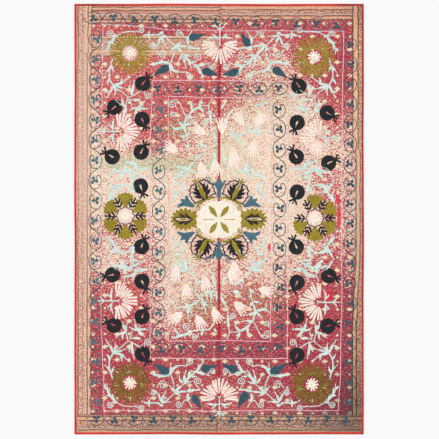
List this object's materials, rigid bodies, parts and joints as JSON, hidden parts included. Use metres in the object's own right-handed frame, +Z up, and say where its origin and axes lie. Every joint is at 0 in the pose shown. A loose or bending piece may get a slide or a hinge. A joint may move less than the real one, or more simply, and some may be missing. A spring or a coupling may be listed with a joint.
{
  "type": "ralli blanket",
  "caption": "Flat quilted cotton blanket of two joined cloth widths with a narrow centre strip and a folded binding sewn round its edge.",
  "frame": {"origin": "middle of the underside, on the surface that the blanket lies on", "axes": "+X across the width to the right of the picture, +Y along the length to the top of the picture, +Z up out of the embroidered face"},
  "size_m": [1.5023, 2.2343, 0.0032],
  "materials": {
    "printed_cotton": "washed and faded red and salmon printed cotton, quilted with running stitch, matt",
    "crimson_cotton": "unfaded crimson cotton, matt",
    "red_binding": "folded plain-weave red cotton, matt, darker in its creases"
  },
  "bodies": {
    "root": {"cloth_left": "printed_cotton", "cloth_right": "printed_cotton", "seam_strip": "crimson_cotton", "binding_left": "red_binding", "binding_right": "red_binding", "binding_top": "red_binding", "binding_bottom": "red_binding"}
  },
  "joints": []
}
